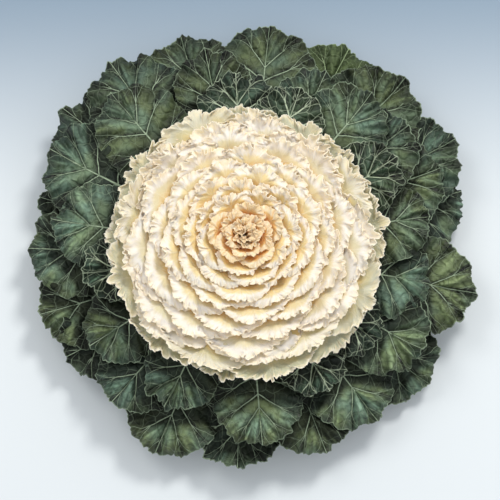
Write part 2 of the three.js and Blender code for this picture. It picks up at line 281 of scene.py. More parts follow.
def lobed_line(rng, places, length):
    """Round lobes from 0 to 1 with narrow notches between them: roots of half sines of chance
    length and height."""
    count = int(2 * places.max() / length) + 5
    knots = np.cumsum(rng.uniform(0.5, 1.5, count)) * length
    knots -= knots[0]
    heights = rng.uniform(0.3, 1, count)
    low = np.clip(np.searchsorted(knots, places, side="right") - 1, 0, count - 2)
    share = np.clip((places - knots[low]) / (knots[low + 1] - knots[low]), 0, 1)
    return heights[low] * np.sqrt(np.sin(np.pi * share))


def notched_line(rng, places, length):
    """A jagged line from -1 to 1: chance heights at every half length, joined straight."""
    steps = places / (length / 2)
    count = int(steps.max()) + 2
    values = rng.uniform(0.1, 1, count) * (-1.0) ** np.arange(count)
    return np.interp(steps, np.arange(count), values)


def grid_value(grid, u, w):
    """The grid's value at u, w, counted in its cells, eased between the four corners."""
    i, j = u.astype(int), w.astype(int)
    a, b = u - i, w - j
    a, b = a * a * (3 - 2 * a), b * b * (3 - 2 * b)
    near = grid[i, j] * (1 - a) + grid[i + 1, j] * a
    far = grid[i, j + 1] * (1 - a) + grid[i + 1, j + 1] * a
    return near * (1 - b) + far * b


def uneven_field(rng, x, y, size):
    """A soft height from -1 to 1 over the flat leaf: chance values on a square grid."""
    u, w = (x - x.min()) / size, (y - y.min()) / size
    return grid_value(rng.uniform(-1, 1, (int(u.max()) + 2, int(w.max()) + 2)), u, w)


def crest_line(leaf, angle):
    """The crests that the solid's margin has, one at each whole step of the angle, joined by
    half cosines."""
    steps = (np.degrees(angle) + 180) / (360 / leaf.kind.crests)
    low = np.clip(np.floor(steps + 1e-9).astype(int), 0, leaf.kind.crests - 1)
    share = (1 - np.cos(np.pi * np.clip(steps - low, 0, 1))) / 2

    def crest(j):
        return np.where(j % 2, -1, 1) * (0.5 + 0.5 * hash_number(leaf.seed, j))

    return crest(low) * (1 - share) + crest(low + 1) * share


# ---------------------------------------------------------------- one leaf

STALK_PACE, PACE_POWER = 0.2, 0.7  # rows by the stalk are five times as far apart as by the tip
COLUMN_POWER = 1.6  # over 1, columns are closer by the margin
LOBE_MEAN = 0.6  # where the lobes' line is higher, the margin is pushed out, where lower, in
LOBES_FROM = 6  # the lobes are full from a sixth of the way round the blade's front
SLIP = 0.22  # slip of a wave along the margin, times its length and pull
STALK_END = 0.05  # the stalk is at its thickest up to here, as a share of the leaf's length
EDGE_BAND = 5  # the blade thickens over this distance from the margin
RIB_SPREAD = 2.2  # distance from the midrib at which its rib has mostly died away
FAR = 999  # distance to the next vein, where there is none
TONE_KEY, REACH_KEY = 7, 3  # second numbers for hash_number


def outline(leaf, half, centre, angle):
    """Margin and midrib of the flat leaf at angles round the blade, 0 at the tip.

    The margin is an oval that widens towards the tip, with the solid's crests, and narrows
    to the stalk."""
    kind = leaf.kind
    front = (1 + np.cos(angle)) / 2
    spread = 1 + kind.lobe * crest_line(leaf, angle) * front
    across = leaf.width * np.sin(angle) * (1 + FAN * np.cos(angle)) * spread
    across += np.sign(angle) * kind.stalk_width * np.maximum(0, -np.cos(angle))
    rise = np.cos(angle)
    rise = np.where(rise > 0, np.abs(rise) ** kind.blunt, rise)
    ahead = centre + half * rise * spread
    return across, ahead, centre + half * ((1 + SPINE_END) * front - 1), front


def leaf_sheet(leaf):
    """The flat leaf as a grid: rows run from the foot up one side, round the blade over the tip
    and down the other side, closer together by the tip; columns run from the midrib out to the
    margin.

    Returns the layer's line, its length, x, y, the lift off the layer, the distance from the
    margin, the angle of each row, v of each column, and how steep the waves' flanks are."""
    kind = leaf.kind
    line = layer_line(leaf)
    length = np.interp(leaf.reach, line[1], line[0])
    half = kind.blade * length
    centre = length - half

    fine = np.linspace(-np.pi, np.pi, 1441)
    across, ahead, spine, front = outline(leaf, half, centre, fine)
    pace = np.hypot(np.diff(across), np.diff(ahead))
    pace *= STALK_PACE + (1 - STALK_PACE) * front[1:] ** PACE_POWER
    total = np.concatenate([[0], np.cumsum((pace + pace[::-1]) / 2)])
    around = np.interp(np.linspace(0, total[-1], kind.rows), total, fine)
    stalk_rows = max(4, kind.rows // 30)
    rise = np.linspace(0, 1, stalk_rows, endpoint=False)
    angle = np.concatenate([np.full(stalk_rows, -np.pi), around, np.full(stalk_rows, np.pi)])
    share = np.concatenate([rise, np.ones(kind.rows), rise[::-1]])
    across, ahead, spine, front = outline(leaf, half, centre, angle)
    ahead = np.where(share < 1, share * (centre - half), ahead)
    spine = np.where(share < 1, share * (centre - half), spine)
    run = np.concatenate([[0], np.cumsum(np.hypot(np.diff(across), np.diff(ahead)))])

    # Lobes and teeth push the margin out and in along the line from the midrib.
    rng = np.random.default_rng(leaf.seed)
    cut = kind.scallop[1] * (lobed_line(rng, run, kind.scallop[0]) - LOBE_MEAN)
    cut += kind.tooth[1] * notched_line(rng, run, kind.tooth[0])
    cut *= np.clip(front * LOBES_FROM, 0, 1)
    reach = np.maximum(np.hypot(across, ahead - spine), 1e-6)
    out = np.stack([across, ahead - spine]) / reach
    reach = reach + cut
    v = 1 - (1 - np.linspace(0, 1, kind.columns)) ** COLUMN_POWER
    x = out[0][:, None] * reach[:, None] * v
    y = spine[:, None] + out[1][:, None] * reach[:, None] * v
    inset = reach[:, None] * (1 - v)

    # The lift: the solid's crests, the panels between the veins, and an uneven field.
    open_share = front[:, None]
    crest = crest_line(leaf, angle)[:, None]
    lift = kind.ruffle * crest * open_share * v**3
    number = np.abs(np.degrees(angle))[:, None] / kind.vein_step
    panel = np.abs(np.sin(np.pi * number))
    lift = lift + kind.quilt * panel * np.sqrt(v) * (1 - v**3) * open_share
    lift = lift + kind.crumple[1] * uneven_field(rng, x, y, kind.crumple[0]) * open_share
    lift = lift + kind.sway / 2 * rng.uniform(-1, 1) * x / leaf.width * open_share

    # The curl: towards the margin the rise grows with the square of the way across its band.
    height = (leaf.turn + kind.sway * rng.uniform(-1, 1)) * open_share**2
    crossed = np.clip(1 - inset / kind.curl, 0, 1)
    lift = lift + height * crossed**2
    lean = np.arctan(2 * height / kind.curl * crossed)

    # Folds, frills and ripples: waves across the leaning sheet that die away from the margin
    # inward. A crest is pulled in over the blade, a dip pushed out, and the slip along the margin
    # folds the flanks. An uneven field bends the lines of the waves, and another adds small lumps.
    tangent = np.stack([np.gradient(across), np.gradient(ahead)])
    tangent /= np.maximum(np.hypot(*tangent), 1e-6)
    size, height, depth = kind.crinkle
    fade = np.sqrt(open_share) * np.exp(-((inset / depth) ** 2))
    lift = lift + height * uneven_field(rng, x, y, size) * fade
    places = run[:, None] + kind.stray[1] * (1 + uneven_field(rng, x, y, kind.stray[0]))
    crease = 0 * x
    for wave_length, height, pull, depth in (kind.fold, kind.frill, kind.ripple):
        wave, slip = wavy_line(rng, places, wave_length)
        wave = wave * leaf.waves
        fade = np.sqrt(open_share) * np.exp(-((inset / depth) ** 2))
        lift = lift + height * wave * fade * np.cos(lean)
        aside = SLIP * pull * wave_length * slip * fade
        inward = height * wave * fade * (np.sin(lean) + pull)
        x = x + tangent[0][:, None] * aside - out[0][:, None] * inward
        y = y + tangent[1][:, None] * aside - out[1][:, None] * inward
        crease = np.maximum(crease, np.maximum(np.abs(slip), -wave) * fade)
    return line, length, x, y, lift, inset, angle, v, crease


def shell_faces(rows, columns):
    """Corner numbers of the closed shell: the top, the under side with every other column,
    the rim, and the two halves of the foot.

    The two sides share the midrib: column 0 of a row is that of the row across from it."""
    top = np.arange(rows * columns).reshape(rows, columns)
    under = rows * columns + np.arange(rows * (columns // 2 + 1)).reshape(rows, -1)
    for grid in (top, under):
        grid[rows // 2 + 1:, 0] = grid[: rows // 2, 0][::-1]

    def quads(a, b, c, d):
        return np.stack([a, b, c, d], -1).reshape(-1, 4)

    smooth = np.vstack([
        quads(top[:-1, :-1], top[:-1, 1:], top[1:, 1:], top[1:, :-1]),
        quads(under[:-1, :-1], under[1:, :-1], under[1:, 1:], under[:-1, 1:]),
    ])
    rim = quads(top[1:, -1], top[:-1, -1], under[:-1, -1], under[1:, -1])
    a, b = top[0], under[0]
    left = np.stack([a[2::2], a[1::2], a[:-1:2], b[:-1], b[1:]], -1)
    a, b = top[-1], under[-1]
    right = np.stack([a[:-1:2], a[1::2], a[2::2], b[1:], b[:-1]], -1)
    return smooth, rim, np.vstack([left, right])


def leaf_shell(leaf, tone):
    """Vertices, faces and surface values of one leaf.

    The under side is the top moved along its normal by the thickness, which grows from the
    margin inward and towards the foot, with a rounded rib under the midrib.

    The surface values, three numbers each:
    flat: x and y of the flat leaf, distance from the margin
    fan: number of the side vein, way from the midrib to the margin, distance between two veins
    tone: chance number of the leaf, way from foot to tip, place in the head from rim to bud
    side: 1 on the under side, how much the waves crease, cover by other leaves, which green leaves
    paint as shadow"""
    kind = leaf.kind
    line, length, x, y, lift, inset, angle, v, crease = leaf_sheet(leaf)
    place, normal = bend(leaf, line, x, y)
    along = y / length
    stalk = np.clip(1 - (along - STALK_END) / (1 - STALK_END - 2 * kind.blade), 0, 1)
    body = kind.edge + (kind.thickness - kind.edge) * np.clip(inset / EDGE_BAND, 0, 1)
    thick = body + (kind.stalk_thickness - kind.thickness) * stalk
    thick = thick + kind.rib * (1 - np.clip(along, 0, 1)) * np.exp(-((x / RIB_SPREAD) ** 2))
    top = place + normal * lift[..., None]
    facing = np.cross(np.gradient(top, axis=1), np.gradient(top, axis=0))
    facing /= np.maximum(np.linalg.norm(facing, axis=-1, keepdims=True), 1e-9)
    facing[:, 0] = normal[:, 0]
    under = top - facing * thick[..., None]

    number = np.abs(np.degrees(angle)) / kind.vein_step
    turn = np.abs(np.gradient(number))
    pace = np.hypot(np.gradient(x, axis=0), np.gradient(y, axis=0))
    spacing = np.where(turn[:, None] > 1e-4, pace / np.maximum(turn, 1e-4)[:, None], FAR)
    ones = np.ones_like(x)
    values = {
        "flat": (x, y, inset),
        "fan": (number[:, None] * ones, v * ones, np.minimum(spacing, FAR)),
        "tone": (hash_number(leaf.seed, TONE_KEY) * ones, along, tone * ones),
        "side": (0 * ones, crease, 0 * ones),
    }
    values = {key: np.stack(parts, -1) for key, parts in values.items()}
    both = {key: [grid.reshape(-1, 3), grid[:, ::2].reshape(-1, 3)] for key, grid in values.items()}
    both["side"][1] = both["side"][1] + (1, 0, 0)
    both = {key: np.vstack(grids) for key, grids in both.items()}
    vertices = np.vstack([top.reshape(-1, 3), under[:, ::2].reshape(-1, 3)])
    return vertices, shell_faces(*x.shape), both


# ---------------------------------------------------------------- meshes and pieces


def turned_shell(profile, sides, ripple):
    """A turned body closed on the axis at both ends. The radius has a ripple round it."""
    radius = np.concatenate([[0], profile[:, 0], [0]])
    height = np.concatenate([profile[:1, 1], profile[:, 1], profile[-1:, 1]])
    turn = np.linspace(0, 2 * np.pi, sides, endpoint=False)
    r = radius[:, None] + ripple * (radius > 0)[:, None] * np.sin(5 * turn + height[:, None] / 9)
    grid = np.stack([r * np.cos(turn), r * np.sin(turn), height[:, None] + 0 * turn], -1)
    index = np.arange(grid.shape[0] * sides).reshape(-1, sides)
    beside = np.roll(index, -1, axis=1)
    faces = np.stack([index[:-1], beside[:-1], beside[1:], index[1:]], -1).reshape(-1, 4)
    return grid.reshape(-1, 3), faces


def make_mesh(name, shells):
    """One mesh, in metres, from shells of (vertices, faces, values). Tops and under sides are
    smooth; rims and feet are flat."""
    first = np.cumsum([0] + [len(shell[0]) for shell in shells[:-1]])
    vertices = np.vstack([shell[0] for shell in shells]) * MM
    smooth, rim, foot = [
        np.vstack([shell[1][i] + start for shell, start in zip(shells, first)]) for i in range(3)
    ]
    used = np.unique(np.concatenate([smooth.ravel(), foot.ravel()]))
    smooth, rim, foot = [np.searchsorted(used, faces) for faces in (smooth, rim, foot)]
    mesh = bpy.data.meshes.new(name)
    mesh.from_pydata(vertices[used], [], smooth.tolist() + rim.tolist() + foot.tolist())
    flags = np.arange(len(mesh.polygons)) < len(smooth)
    mesh.polygons.foreach_set("use_smooth", flags)
    for key in shells[0][2]:
        values = np.vstack([shell[2][key] for shell in shells])[used]
        mesh.attributes.new(key, "FLOAT_VECTOR", "POINT")
        mesh.attributes[key].data.foreach_set("vector", values.astype(np.float32).ravel())
    mesh.update()
    return mesh


def make_piece(name, mesh, material, node):
    """A piece of the plant in place of a solid."""
    piece = bpy.data.objects.new(name, mesh)
    bpy.context.scene.collection.objects.link(piece)
    mesh.materials.append(material)
    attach(piece, "root")
    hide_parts(node)


# ---------------------------------------------------------------- shader building


class Graph:
    """Adds nodes to one tree and links them."""

    def __init__(self, tree):
        self.tree = tree

    def put(self, socket, value):
        if isinstance(value, bpy.types.NodeSocket):
            self.tree.links.new(value, socket)
        else:
            socket.default_value = value

    def node(self, kind, inputs=None, **settings):
        made = self.tree.nodes.new("ShaderNode" + kind)
        for name, value in settings.items():
            setattr(made, name, value)
        for name, value in (inputs or {}).items():
            self.put(made.inputs[name], value)
        return made

    def math(self, operation, *values):
        made = self.node("Math", operation=operation)
        for socket, value in zip(made.inputs, values):
            self.put(socket, value)
        return made.outputs[0]

    def vector(self, operation, inputs):
        return self.node("VectorMath", inputs, operation=operation).outputs[0]

    def ease(self, value, start, end, low=0.0, high=1.0):
        """Eases from low to high while value goes from start to end."""
        inputs = {"Value": value, "From Min": start, "From Max": end, "To Min": low, "To Max": high}
        return self.node("MapRange", inputs, interpolation_type="SMOOTHSTEP").outputs[0]

    def mix(self, share, low, high):
        made = self.node("Mix", data_type="RGBA")
        self.put(made.inputs[0], share)
        self.put(made.inputs[6], low)
        self.put(made.inputs[7], high)
        return made.outputs[2]

    def attribute(self, name):
        """The three numbers of one of the leaf's surface values."""
        read = self.node("Attribute", attribute_name=name)
        return self.node("SeparateXYZ", {"Vector": read.outputs["Vector"]}).outputs

    def noise(self, vector, scale, detail=2.0):
        inputs = {"Vector": vector, "Scale": scale, "Detail": detail}
        return self.node("TexNoise", inputs).outputs["Fac"]


def colour(code):
    """Linear red, green, blue and alpha of a #rrggbb colour."""
    parts = [int(code[i:i + 2], 16) / 255 for i in (1, 3, 5)]
    linear = [c / 12.92 if c <= 0.04045 else ((c + 0.055) / 1.055) ** 2.4 for c in parts]
    return (*linear, 1.0)


VEIN_INPUTS = ("Rib Width", "Vein Width", "Net Size", "Net Width")
LEAF_SHIFT = 400.0  # each leaf reads another part of the noise, up to this far off
FORK_FROM = 0.5  # way to the margin at which a side vein forks
FORK_SPREAD = 0.62
LAST_VEIN, STALK_VEIN = 5.6, 6.3  # numbers between which the side veins fade at the stalk
NET_BEND = 5.0  # how far the nets' lines are pushed about
FINE_NET = 0.5  # the fine net's cells, as a share of the net's


def make_vein_group():
    """Node group: masks of a leaf's midrib and side veins, of the net between them, of the fine
    net and of the cushions inside it, from the leaf's surface values.

    A side vein lies where the fan number is whole, and forks towards the margin. The nets are
    the edges of Voronoi cells on the flat leaf."""
    group = bpy.data.node_groups.new("leaf veins", "ShaderNodeTree")
    for name, value in zip(VEIN_INPUTS, (1.4, 0.5, 9.0, 0.4)):
        socket = group.interface.new_socket(name, in_out="INPUT", socket_type="NodeSocketFloat")
        socket.default_value = value
    for name in ("Veins", "Net", "Fine Net", "Cushions"):
        group.interface.new_socket(name, in_out="OUTPUT", socket_type="NodeSocketFloat")
    g = Graph(group)
    given = group.nodes.new("NodeGroupInput").outputs
    result = group.nodes.new("NodeGroupOutput").inputs

    flat = g.attribute("flat")
    fan = g.attribute("fan")
    tone = g.attribute("tone")
    along = tone[1]
    shift = g.math("MULTIPLY", tone[0], LEAF_SHIFT)
    shifted = g.math("ADD", flat[1], shift)
    at = g.node("CombineXYZ", {"X": flat[0], "Y": shifted, "Z": 0.0}).outputs[0]

    # Midrib: narrower towards the tip.
    taper = g.ease(along, 0.3, 1.0, 1.0, 0.25)
    rib_width = g.math("MULTIPLY", given["Rib Width"], taper)
    beside = g.math("DIVIDE", g.math("ABSOLUTE", flat[0]), rib_width)
    rib = g.math("SUBTRACT", 1.0, g.ease(beside, 0.55, 1.1))

    # Side veins: distance to the nearest whole fan number, bent by a slow noise.
    bend_by = g.math("MULTIPLY", g.math("SUBTRACT", g.noise(at, 0.04), 0.5), 0.4)
    bent = g.math("ADD", fan[0], bend_by)
    off = g.math("ABSOLUTE", g.math("SUBTRACT", bent, g.math("ROUND", bent)))
    narrow = g.ease(fan[1], 0.0, 1.0, 1.0, 0.35)
    vein_width = g.math("MULTIPLY", given["Vein Width"], narrow)
    gap = g.math("MULTIPLY", off, fan[2])
    main = g.math("SUBTRACT", 1.0, g.ease(g.math("DIVIDE", gap, vein_width), 0.6, 1.3))
    before_fork = g.math("SUBTRACT", 1.0, g.ease(fan[1], 0.6, 0.75, 0.0, 0.75))
    main = g.math("MULTIPLY", main, before_fork)
    past_fork = g.math("MAXIMUM", g.math("SUBTRACT", fan[1], FORK_FROM), 0.0)
    open_by = g.math("MULTIPLY", past_fork, FORK_SPREAD)
    fork_gap = g.math("MULTIPLY", g.math("ABSOLUTE", g.math("SUBTRACT", off, open_by)), fan[2])
    fork = g.math("SUBTRACT", 1.0, g.ease(g.math("DIVIDE", fork_gap, vein_width), 0.5, 1.2))
    fork = g.math("MULTIPLY", fork, g.ease(fan[1], FORK_FROM, 0.56, 0.0, 0.7))
    on_blade = g.ease(fan[0], LAST_VEIN, STALK_VEIN, 1.0, 0.0)
    side_veins = g.math("MULTIPLY", g.math("MAXIMUM", main, fork), on_blade)
    g.put(result["Veins"], g.math("MAXIMUM", rib, side_veins))

    # Nets: the lines are pushed about by a noise. The cushions are the fine net's cells.
    wobble = g.node("TexNoise", {"Vector": at, "Scale": 0.15, "Detail": 1.0}).outputs["Color"]
    pushed = g.vector("ADD", {0: wobble, 1: (-0.5, -0.5, -0.5)})
    pushed = g.vector("SCALE", {0: pushed, "Scale": NET_BEND})
    bent_at = g.vector("ADD", {0: at, 1: pushed})
    fine_size = g.math("MULTIPLY", given["Net Size"], FINE_NET)
    fine_width = g.math("MULTIPLY", given["Net Width"], 0.8)
    for name, size, width in (
        ("Net", given["Net Size"], given["Net Width"]), ("Fine Net", fine_size, fine_width),
    ):
        where = g.vector("SCALE", {0: bent_at, "Scale": g.math("DIVIDE", 1.0, size)})
        cells = g.node(
            "TexVoronoi", {"Vector": where, "Scale": 1.0, "Randomness": 0.85},
            voronoi_dimensions="2D", feature="DISTANCE_TO_EDGE").outputs["Distance"]
        distance = g.math("MULTIPLY", cells, size)
        line = g.math("SUBTRACT", 1.0, g.ease(g.math("DIVIDE", distance, width), 0.4, 1.2))
        g.put(result[name], g.math("MULTIPLY", line, on_blade))
    g.put(result["Cushions"], g.ease(cells, 0.0, 0.32))
    return group


def new_material(name, **uniform):
    """An empty material with a Principled shader; uniform values go on its own sockets."""
    material = bpy.data.materials.new(name)
    material.use_nodes = True
    tree = material.node_tree
    shader = tree.nodes["Principled BSDF"]
    for key, value in uniform.items():
        shader.inputs[key.replace("_", " ")].default_value = value
    return material, Graph(tree), shader


def vein_node(g, *values):
    """The vein group with values for its inputs, in mm; returns its outputs."""
    made = g.node("Group", node_tree=VEINS)
    for name, value in zip(VEIN_INPUTS, values):
        made.inputs[name].default_value = value
    return made.outputs


# Painted shade: the colour that darkens a green leaf's foot, what lies under other leaves, and the
# plant's back.
PAINTED_SHADE = "#0d120b"  # of a leaf's foot, of what lies under other leaves and of the plant's back
UNDER, UNDER_VEIN = "#4c5f49", "#93a585"


def green_leaf_material(name, dark, light, bloom, vein, net_strength, vein_width):
    """Blade with painted shade along the veins and painted light on the crowns between them,
    more or less bluish with its bloom, paler veins and net, a thin pale edge here and there,
    pale under side; painted shade in its creases, at its foot and towards the plant's back, and a
    painted shadow where other leaves lie over it."""
    material, g, shader = new_material(name, Specular_IOR_Level=0.25)
    at = g.node("TexCoord").outputs["Object"]
    flat, fan, tone, side = [g.attribute(key) for key in ("flat", "fan", "tone", "side")]
    veins = vein_node(g, 1.3, vein_width, 13.0, 0.4)
    mottle = g.noise(at, 60.0, 5.0)
    speck = g.noise(at, 420.0, 3.0)

    # Share of the light colour: chance of the leaf and a mottle; most on the crowns between two
    # side veins and on the fine net's cushions, least along the veins, which paints light and shade
    # onto the blade's quilting.
    crown = g.math("ABSOLUTE", g.math("SINE", g.math("MULTIPLY", fan[0], math.pi)))
    share = g.ease(mottle, 0.3, 0.7, -0.25, 0.0)
    share = g.math("ADD", share, g.math("MULTIPLY", tone[0], 0.25))
    share = g.math("ADD", share, g.math("MULTIPLY", crown, 0.65))
    share = g.math("ADD", share, g.ease(speck, 0.3, 0.7, -0.1, 0.1))
    share = g.math("ADD", share, g.math("MULTIPLY", veins["Cushions"], 0.12))

    # Bloom: differs from leaf to leaf, and in wide patches on each.
    hue = g.math("FRACT", g.math("MULTIPLY", tone[0], 7.0))
    hue = g.math("ADD", hue, g.ease(g.noise(at, 38.0), 0.35, 0.65, -0.5, 0.5))
    lit = g.mix(hue, colour(light), colour(bloom))
    blade = g.mix(share, colour(dark), lit)
    # Painted shade: darker where the waves crease.
    blade = g.mix(g.ease(side[1], 0.3, 1.0, 0.0, 0.75), blade, colour(dark))

    # Painted shade at the leaf's foot and towards the plant's back, and a painted shadow where
    # other leaves lie over it.
    y = g.node("SeparateXYZ", {"Vector": at}).outputs[1]
    foot, back = g.ease(tone[1], 0.6, 0.92, 0.9, 0.0), g.ease(y, 0.01, 0.15, 0.0, 0.6)
    shade = g.math("MAXIMUM", foot, back)
    shade = g.math("MAXIMUM", shade, g.ease(side[2], 0.05, 0.5, 0.0, 0.92))
    blade = g.mix(shade, blade, colour(PAINTED_SHADE))

    blade = g.mix(g.math("MULTIPLY", veins["Fine Net"], 0.07 * net_strength), blade, colour(vein))
    blade = g.mix(g.math("MULTIPLY", veins["Net"], 0.3 * net_strength), blade, colour(vein))
    blade = g.mix(g.math("MULTIPLY", veins["Veins"], 0.8), blade, colour(vein))
    patches = g.ease(g.noise(at, 30.0), 0.4, 0.6, 0.12, 0.6)
    pale = g.math("MULTIPLY", g.ease(flat[2], 0.25, 0.9, 1.0, 0.0), patches)
    blade = g.mix(pale, blade, colour(vein))
    under = g.mix(g.math("MULTIPLY", veins["Veins"], 0.7), colour(UNDER), colour(UNDER_VEIN))
    g.put(shader.inputs["Base Color"], g.mix(side[0], blade, under))

    rough = g.ease(mottle, 0.2, 0.8, 0.37, 0.54)
    rough = g.math("ADD", rough, g.math("MULTIPLY", shade, 0.3))
    g.put(shader.inputs["Roughness"], rough)
    pucker = g.noise(at, 300.0, 4.0)
    height = g.math("MULTIPLY", veins["Veins"], -0.8)
    height = g.math("ADD", height, g.math("MULTIPLY", veins["Net"], -0.4))
    height = g.math("ADD", height, g.math("MULTIPLY", veins["Cushions"], 0.8))
    height = g.math("ADD", height, g.math("MULTIPLY", pucker, 0.4))
    bump = g.node("Bump", {"Height": height, "Strength": 0.8, "Distance": 0.0013})
    g.put(shader.inputs["Normal"], bump.outputs[0])
    return material


def pale_leaf_material(name, lip_rim, lip, lip_crown, blade_rim, blade_crown, deep, fold):
    """Pale margin, blade going from it to tan towards the foot, which is partly the leaf's own
    colour and partly painted shade under the margins above, a warm tint painted into the folds for
    the warm light in them, faint veins. Margin and blade go from the rim's colours to the crown's
    with the leaf's place in the head. Light passes into the leaf by a few millimetres."""
    material, g, shader = new_material(name, Specular_IOR_Level=0.15, Subsurface_Weight=0.7)
    shader.inputs["Subsurface Radius"].default_value = (0.003, 0.0027, 0.0022)
    shader.inputs["Subsurface Scale"].default_value = 1.0
    at = g.node("TexCoord").outputs["Object"]
    flat, tone, side = [g.attribute(key) for key in ("flat", "tone", "side")]
    veins = vein_node(g, 1.4, 0.5, 7.0, 0.4)
    mottle = g.noise(at, 110.0, 3.0)
    scale = g.ease(tone[2], 0.0, 1.0, 1.0, 2.4)
    depth = g.math("ADD", g.math("MULTIPLY", flat[2], scale),
                   g.math("MULTIPLY", g.math("SUBTRACT", mottle, 0.5), 9.0))
    edge = g.mix(g.ease(flat[2], 0.4, 3.0, 0.9, 0.0), colour(lip_rim), colour(lip))
    margin = g.mix(g.ease(tone[2], 0.12, 0.27), edge, colour(lip))
    margin = g.mix(g.ease(tone[2], 0.5, 0.85), margin, colour(lip_crown))
    blade = g.mix(g.ease(tone[2], 0.05, 0.9), colour(blade_rim), colour(blade_crown))
    # Painted shade in part: the blade goes tan and then deep away from the margin, the leaf's own
    # colour mixed with the shade under the margin of the leaf above.
    surface = g.mix(g.ease(depth, 7.5, 15.0), margin, blade)
    surface = g.mix(g.ease(depth, 15.0, 29.0, 0.0, 0.9), surface, colour(deep))
    surface = g.mix(g.math("MULTIPLY", veins["Veins"], 0.15), surface, colour(lip))
    surface = g.mix(g.math("MULTIPLY", veins["Net"], 0.12), surface, colour(lip))
    # Painted warm light: a warm tint where the waves crease, for the light that glows warm in the
    # folds.
    surface = g.mix(g.ease(side[1], 0.3, 1.0, 0.0, 0.7), surface, colour(fold))
    g.put(shader.inputs["Base Color"], surface)
    g.put(shader.inputs["Roughness"], g.ease(mottle, 0.2, 0.8, 0.5, 0.68))
    height = g.math("ADD", veins["Veins"], veins["Net"])
    height = g.math("MULTIPLY", height, 0.3)
    height = g.math("ADD", height, g.math("MULTIPLY", g.noise(at, 420.0, 3.0), 0.5))
    bump = g.node("Bump", {"Height": height, "Strength": 0.5, "Distance": 0.0004})
    g.put(shader.inputs["Normal"], bump.outputs[0])
    return material


DOT_RING = 0.0115  # radius in metres of the ring of dots in the stem's cut face


def stem_material():
    """Pale green rind with long fibres; the cut face is paler, with a ring of dots and pith."""
    material, g, shader = new_material("stem", Specular_IOR_Level=0.35)
    at = g.node("TexCoord").outputs["Object"]
    x, y, z = g.node("SeparateXYZ", {"Vector": at}).outputs
    radius = g.math("SQRT", g.math("ADD", g.math("MULTIPLY", x, x), g.math("MULTIPLY", y, y)))
    stretch = g.node("Mapping", {"Vector": at, "Scale": (1.0, 1.0, 0.12)}).outputs[0]
    fibre = g.noise(stretch, 900.0, 3.0)
    rind = g.mix(g.ease(fibre, 0.3, 0.7), colour("#8fa274"), colour("#c3cba4"))
    from_ring = g.math("ABSOLUTE", g.math("SUBTRACT", radius, DOT_RING))
    ring = g.ease(from_ring, 0.0006, 0.0018, 1.0, 0.0)
    pith = g.mix(g.ease(radius, 0.007, 0.011), colour("#eef0dc"), colour("#d9ddb6"))
    dots = g.math("MULTIPLY", ring, g.ease(g.noise(at, 1300.0), 0.45, 0.6))
    face = g.mix(dots, pith, colour("#93a06f"))
    surface = g.mix(g.ease(z, 0.0002, 0.0006), face, rind)
    g.put(shader.inputs["Base Color"], surface)
    g.put(shader.inputs["Roughness"], g.ease(fibre, 0.2, 0.8, 0.55, 0.8))
    bump = g.node("Bump", {"Height": fibre, "Strength": 0.6, "Distance": 0.0004})
    g.put(shader.inputs["Normal"], bump.outputs[0])
    return material


# ---------------------------------------------------------------- the plant

# The cover: a square grid seen from above, 1 in cells where a leaf lies. Softened and shifted a
# little towards the light, it is painted as a shadow onto the green leaves under it.
COVER_CELL = 4
COVER_HALF = 60  # cells from the axis to the grid's edge
COVER_ROUNDS = 3  # of softening
PAINTED_SHADOW_SHIFT = (0.5, 1.0)  # cells towards the light, where a leaf looks for the cover over it


def head_leaf(kind, k, order):
    """Leaf of the head at place k of the spiral; order counts the turns of the golden angle."""
    rank = HEAD_FIRST_RANK + HEAD_RANK_STEP * k
    even, turn = [np.interp(rank, HEAD_SHAPE[:, 0], HEAD_SHAPE[:, i]) for i in (1, 2)]
    reach = even * (1 + REACH_JITTER * (hash_number(k, REACH_KEY) - 0.5))
    width = HEAD_WIDTH_BASE + HEAD_WIDTH_SHARE * reach
    azimuth = HEAD_FIRST_AZIMUTH + order * GOLDEN_ANGLE
    waves = HEAD_WAVES + HEAD_WAVES_BACK * math.sin(azimuth)
    return Leaf(kind, rank, azimuth, reach, width, HEAD_SEED + order, turn, waves)


def head_tone(rank):
    """0 on the rim of the head, 1 in the middle of the bud."""
    return (rank - HEAD_FIRST_RANK) / (STATIONS[-1, 0] - HEAD_FIRST_RANK)


def cover_cells(shell):
    """Places of a shell's vertices on the cover, in cells."""
    return shell[0][:, :2].T / COVER_CELL + COVER_HALF


def add_to_cover(cover, shell):
    """Marks the cells that the shell's vertices lie in."""
    u, w = np.rint(cover_cells(shell)).astype(int)
    cover[u, w] = 1


def soft_cover(cover):
    """The cover with each cell made the mean of its neighbourhood a few times."""
    for _ in range(COVER_ROUNDS):
        cover = sum(np.roll(cover, (i, j), (0, 1)) for i in (-1, 0, 1) for j in (-1, 0, 1)) / 9
    return cover


def build_green_leaves(materials, cover):
    """From the top layer down. Each leaf takes the cover over it, a little to the light's side, as
    a painted shadow.
    """
    tiers = {"outer_leaf": OUTER_LEAVES, "middle_leaf": MIDDLE_LEAVES, "inner_leaf": INNER_LEAVES}
    rows = [(name, i, *row) for name, leaves in tiers.items() for i, row in enumerate(leaves, 1)]
    for layer in sorted({row[2] for row in rows}, reverse=True):
        soft = soft_cover(cover)
        for name, i, rank, azimuth, reach, *narrow in rows:
            if rank != layer:
                continue
            width = GREEN_WIDTH * reach * (narrow[0] if narrow else 1)
            seed = int(azimuth + 0.5)
            leaf = Leaf(GREEN, rank, math.radians(azimuth), reach, width, seed, GREEN_TURN)
            slot = "veined_leaf" if name == "inner_leaf" else "green_leaf"
            if name == "outer_leaf" and azimuth == LIGHT_LEAF_AZIMUTH:
                slot = "light_green_leaf"
            node = f"{name}_{i:02d}"
            shell = leaf_shell(leaf, 0)
            # Painted shadow: the softened cover of the leaves above, shifted towards the light.
            u, w = cover_cells(shell)
            shell[2]["side"][:, 2] = grid_value(soft, u + PAINTED_SHADOW_SHIFT[0], w + PAINTED_SHADOW_SHIFT[1])
            add_to_cover(cover, shell)
            mesh = make_mesh(f"{node}_fine", [shell])
            make_piece(f"{node}_fine", mesh, materials[slot], node)


